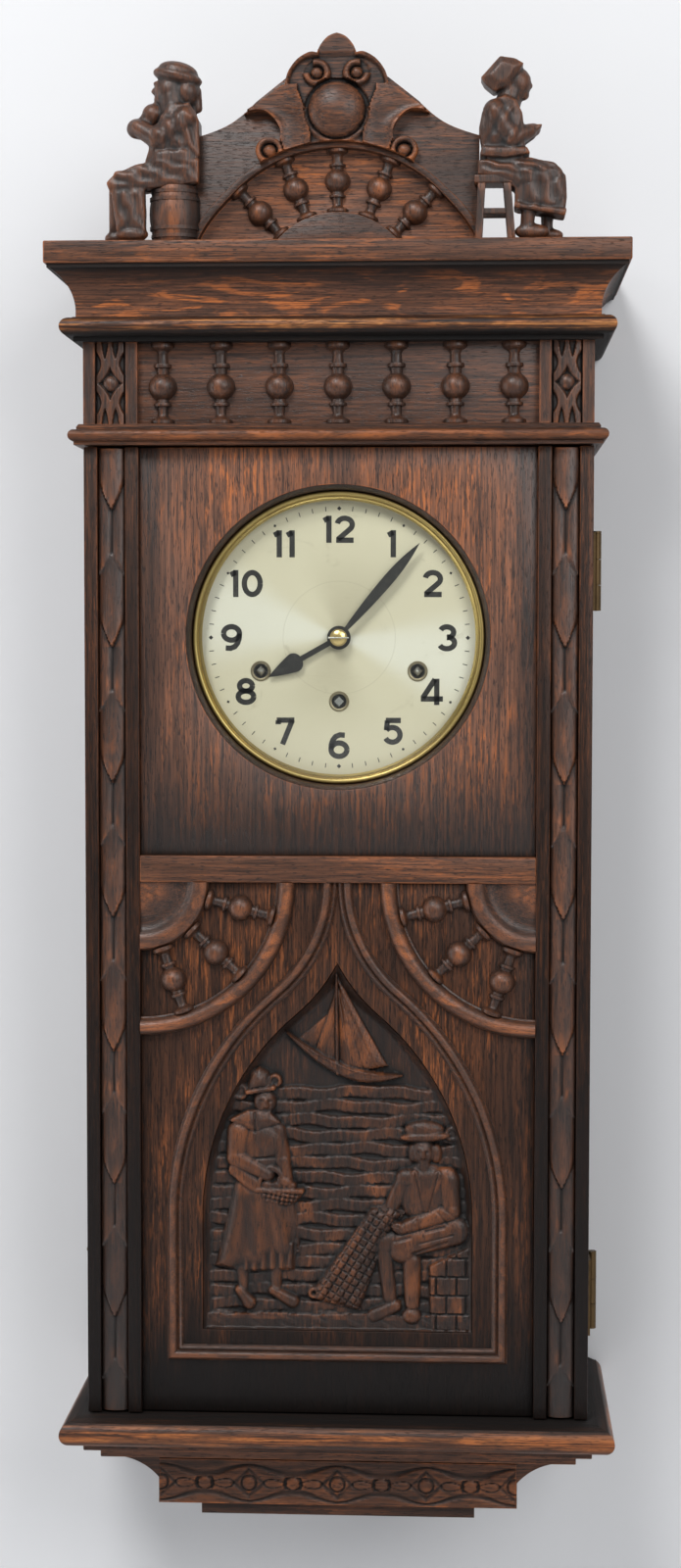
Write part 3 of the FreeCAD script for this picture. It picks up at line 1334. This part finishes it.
def make_train():
    """Centre arbor with its wheels, motion work, third and escape wheels, and the pallets."""
    arbor = bar(centre_axis, (hand_nut_front, back_plate_rear), d.centre_arbor_radius)
    pinion = gear(CENTRE_PINION, d.train_module, PINION_SHIFT, 0.0, centre_axis, widened(great_span, 0.5))
    wheel = gear(CENTRE_TEETH, d.centre_module, -PINION_SHIFT, 0.0, centre_axis, centre_span)
    node(shaped("centre_arbor", joined([arbor, pinion, wheel])))

    cannon = gear(CANNON_TEETH, d.motion_module, PINION_SHIFT, 0.0, centre_axis, cannon_span)
    pipe = bar(centre_axis, (hand_nut_front, cannon_span[1]), cannon_radius)
    bore = bar(centre_axis, (hand_nut_front, cannon_span[1]), cannon_bore)
    nut = rod("nut_blank", "Y", centre_axis, (hand_nut_front, minute_hand_front), d.hand_nut_radius)
    thread = rod("nut_bore", "Y", centre_axis, (hand_nut_front, minute_hand_front), cannon_radius)
    tube = shaped("cannon_tube", joined([cannon, pipe]).cut(bore))
    node(group("cannon_pinion", [tube, cut("hand_nut", nut, [thread])]))

    phase = mesh_phase(0.0, CANNON_TEETH, MINUTE_TEETH, 0.0)
    large = gear(MINUTE_TEETH, d.motion_module, -PINION_SHIFT, phase, minute_axis, cannon_span)
    second = d.motion_module * ((CANNON_TEETH + MINUTE_TEETH) / (MINUTE_PINION + HOUR_TEETH))
    small = gear(MINUTE_PINION, second, PINION_SHIFT, 0.0, minute_axis,
                 (upper_span[0] - 0.5, cannon_span[0]))
    stud_bore = bar(minute_axis, (upper_span[0] - 0.5, cannon_span[1]), d.pivot_radius + d.running_clearance)
    node(shaped("minute_wheel", joined([large, small]).cut(stud_bore)))
    phase = mesh_phase(0.0, MINUTE_PINION, HOUR_TEETH, math.pi)
    wheel = gear(HOUR_TEETH, second, -PINION_SHIFT, phase, centre_axis, upper_span)
    pipe = bar(centre_axis, (hour_hand_back - d.hand_thickness, upper_span[0]), pipe_radius)
    bore = bar(centre_axis, (hour_hand_back - d.hand_thickness, upper_span[1]), pipe_bore)
    node(shaped("hour_wheel", joined([wheel, pipe]).cut(bore)))

    fit = float(d.running_clearance)
    heading = math.atan2(third_axis[1] - float(dial_z), third_axis[0])
    phase = mesh_phase(0.0, CENTRE_TEETH, THIRD_PINION, heading)
    body = bar(third_axis, (plate_inner + fit, back_plate_inner - fit), d.train_arbor_radius)
    pivots = bar(third_axis, (plate_front, back_plate_rear), d.pivot_radius)
    pinion = gear(THIRD_PINION, d.centre_module, PINION_SHIFT, phase, third_axis, widened(centre_span, 0.5))
    wheel = gear(THIRD_TEETH, d.third_module, -PINION_SHIFT, 0.0, third_axis, third_span)
    node(shaped("third_wheel", joined([body, pivots, pinion, wheel])))

    heading = math.atan2(escape_axis[1] - third_axis[1], escape_axis[0] - third_axis[0])
    phase = mesh_phase(0.0, THIRD_TEETH, ESCAPE_PINION, heading)
    body = bar(escape_axis, (plate_inner + fit, back_plate_inner - fit), d.train_arbor_radius)
    pivots = bar(escape_axis, (plate_front, back_plate_rear), d.pivot_radius)
    pinion = gear(ESCAPE_PINION, d.third_module, PINION_SHIFT, phase, escape_axis, widened(third_span, 0.5))
    radius = float(d.escape_radius)
    corners = []
    for k in range(ESCAPE_TEETH):
        angle = 2 * math.pi * k / ESCAPE_TEETH
        step = 2 * math.pi / ESCAPE_TEETH
        for share, turn in ((0.86, -0.35), (1.0, 0.0), (0.86, 0.2)):
            corners.append((share * radius * math.cos(angle + turn * step),
                            share * radius * math.sin(angle + turn * step)))
    outline = [(u + escape_axis[0], v + escape_axis[1]) for u, v in corners]
    wheel = front_prism(outline, escape_span[0], escape_span[1])
    node(shaped("escape_wheel", joined([body, pivots, pinion, wheel])))


def make_pallets():
    """Anchor on its arbor, with the crutch behind the back plate that embraces the pendulum rod."""
    x, z = float(pallet_axis[0]), float(pallet_axis[1])
    fit = float(d.running_clearance)
    wheel_z = escape_axis[1]
    reach = float(d.escape_radius) + float(d.pallet_clearance)
    width = 0.7 * reach
    nib = wheel_z + math.sqrt(reach ** 2 - width ** 2)
    thick = 2 * float(d.train_arbor_radius)
    outline = [(x - width, nib), (x - width + 0.6 * thick, nib + 0.5 * thick), (x - thick, z - 0.6 * thick),
               (x + thick, z - 0.6 * thick), (x + width - 0.6 * thick, nib + 0.5 * thick), (x + width, nib),
               (x + width + 0.5 * thick, nib + thick), (x + thick, z + 0.7 * thick),
               (x - thick, z + 0.7 * thick), (x - width - 0.5 * thick, nib + thick)]
    anchor = front_prism(outline, escape_span[0], escape_span[1])
    arbor = bar(pallet_axis, (plate_inner + fit, back_plate_rear + 1.75 * d.wheel_thickness), d.train_arbor_radius)
    pivot = bar(pallet_axis, (plate_front, plate_inner + 1), d.pivot_radius)
    low = z - float(d.crutch_length)
    strap_back = float(back_plate_rear) + 1.75 * float(d.wheel_thickness)
    strap_front = strap_back - float(d.wheel_thickness)
    strap = front_prism([(x - thick, low - thick), (x + thick, low - thick), (x + 0.7 * thick, z + thick),
                         (x - 0.7 * thick, z + thick)], strap_front, strap_back)
    gap = float(d.pendulum_rod_radius + d.crutch_play)
    prong = float(d.pivot_radius)
    rear = float(back_plate_rear + d.pendulum_behind_plate + d.pendulum_rod_radius)
    foot = front_prism([(x - gap - 2 * prong, low - thick), (x + gap + 2 * prong, low - thick),
                        (x + gap + 2 * prong, low + thick), (x - gap - 2 * prong, low + thick)],
                       strap_front, strap_back)
    prongs = [bar((x + side * (gap + prong), low), (strap_front, rear), prong) for side in (-1, 1)]
    node(shaped("pallets", joined([anchor, arbor, pivot, strap, foot] + prongs)))


# Pendulum

def make_pendulum():
    y = back_plate_rear + d.pendulum_behind_plate
    pivot = pallet_axis[1]
    r = d.suspension_pin_radius
    chop = block("chop_blank", (-3 * r, 3 * r), (y - 1.6 * r, y + 1.6 * r), (pivot - 5 * r, pivot + 2.4 * r))
    hole = rod("chop_hole", "Y", (as_size(0), pivot), (y - 1.6 * r, y + 1.6 * r), r + d.running_clearance)
    spring = block("spring_strip", (-2.5 * r, 2.5 * r), (y - 0.1 * r, y + 0.1 * r), (pivot - 18 * r, pivot - 5 * r))
    lower = block("lower_chop", (-3 * r, 3 * r), (y - 1.6 * r, y + 1.6 * r), (pivot - 23 * r, pivot - 18 * r))
    node(fuse("suspension_spring", [cut("upper_chop", chop, [hole]), spring, lower]))
    bob_z = pivot - d.pendulum_length
    end = bob_z - d.bob_radius - 2.5 * d.rating_nut_height
    shank = rod("rod_shank", "Z", (as_size(0), y), (end, pivot - 23 * r), d.pendulum_rod_radius)
    radius, half = float(d.bob_radius), float(d.bob_thickness) / 2
    rim, edge = 0.96 * radius, 0.16 * half
    across, out = cap_middle(rim, half - edge)
    section = [(0, -half), (across, -out - edge, rim, -edge), (radius, 0, rim, edge), (across, out + edge, 0, half)]
    lens = closed_face(section, lambda u, v: vec(u, v, 0)).revolve(vec(0, 0, 0), vec(0, 1, 0), 360)
    lens.translate(vec(0, y, bob_z))
    fit = float(d.pendulum_rod_radius)
    bore = Part.makeCylinder(fit, 4 * radius, vec(0, y, float(bob_z) - 2 * radius))
    node(shaped("pendulum_bob", lens.cut(bore)))
    low = bob_z - d.bob_radius - d.rating_nut_height
    nut = rod("rating_nut_blank", "Z", (as_size(0), y), (low, low + d.rating_nut_height), d.rating_nut_radius)
    thread = rod("rating_nut_bore", "Z", (as_size(0), y), (low, low + d.rating_nut_height), d.pendulum_rod_radius)
    node(group("pendulum_rod", [shank, cut("rating_nut", nut, [thread])]))


# Chime

seat_low = dial_z - d.plate_below - d.seat_thickness
hammer_z = seat_low - d.hammer_below_seat
strike_z = hammer_z - d.hammer_length
rod_y = board_face - d.gong_block_depth / 2
hammer_face = rod_y - d.gong_rod_radius - d.hammer_gap
hammer_y = hammer_face - d.hammer_head_length / 2
gong_places = (-d.gong_inner - d.gong_spacing, -d.gong_inner, d.gong_inner, d.gong_inner + d.gong_spacing)


def make_chime():
    """Gong block with four hanging rods, and the hammers on their bracket behind the seat board."""
    block_low = strike_z + 2.4 * d.hammer_head_radius
    node(block("gong_block", (-d.gong_block_width / 2, d.gong_block_width / 2),
               (board_face - d.gong_block_depth, board_face), (block_low, block_low + d.gong_block_height)))
    rods = []
    for i, x in enumerate(gong_places):
        length = d.gong_rod_length - i * d.gong_rod_step
        rods.append(rod(f"gong_rod_{i}", "Z", (x, rod_y), (block_low - length, block_low), d.gong_rod_radius))
    node(group("gong_rods", rods))
    r = d.hammer_arbor_radius
    for i, x in enumerate(gong_places):
        hub = rod(f"hammer_hub_{i}", "X", (hammer_y, hammer_z), (x - 2 * r, x + 2 * r), d.hammer_hub_radius)
        arm = rod(f"hammer_arm_{i}", "Z", (x, hammer_y), (strike_z, hammer_z), 0.8 * r)
        head = rod(f"hammer_head_{i}", "Y", (x, strike_z), (hammer_face - d.hammer_head_length, hammer_face),
                   d.hammer_head_radius)
        hole = rod(f"hammer_bore_{i}", "X", (hammer_y, hammer_z), (x - 2 * r, x + 2 * r), r + d.running_clearance)
        node(cut(f"hammer_{i + 1}", fuse(f"hammer_{i + 1}_blank", [hub, arm, head]), [hole]))
    rear = back_plate_rear + d.seat_back_margin
    out = d.gong_inner + d.gong_spacing + 4 * r
    strip = block("bracket_strip", (-out - r, out + r), (rear, rear + r), (seat_low, seat_low + d.seat_thickness))
    cheeks = [
        block(f"bracket_cheek_{i}", span, (rear, hammer_y + 3 * r), (hammer_z - 3 * r, seat_low + d.seat_thickness))
        for i, span in enumerate(((-out - r, -out), (out, out + r)))
    ]
    arbor = rod("hammer_arbor", "X", (hammer_y, hammer_z), (-out - r, out + r), r)
    node(fuse("hammer_bracket", [strip, arbor] + cheeks))


for make in (make_carcass, make_hanger, make_cornice, make_base, make_pediment, make_crest, make_figures,
             make_frieze_spindles, make_door_frame, make_arch, make_lower_panel, make_relief,
             make_corner_fans, make_bezel, make_hinges, make_catch, make_dial, make_hands, make_plates,
             make_barrels, make_train, make_pallets, make_pendulum, make_chime):
    make()

doc.recompute()

for obj in doc.Objects:
    if "Invalid" in obj.State or "Error" in obj.State:
        raise RuntimeError(f"{obj.Label} did not recompute: {obj.State}")
faulty = [label for label, obj in nodes.items()
          if obj.Shape.isNull() or not obj.Shape.isValid() or not obj.Shape.Solids]
if faulty:
    raise RuntimeError("no valid solid in " + ", ".join(faulty))

os.makedirs("parts", exist_ok=True)
for label, obj in nodes.items():
    obj.Shape.exportStep(f"parts/{label}.step")
print(len(nodes), "sub-parts")
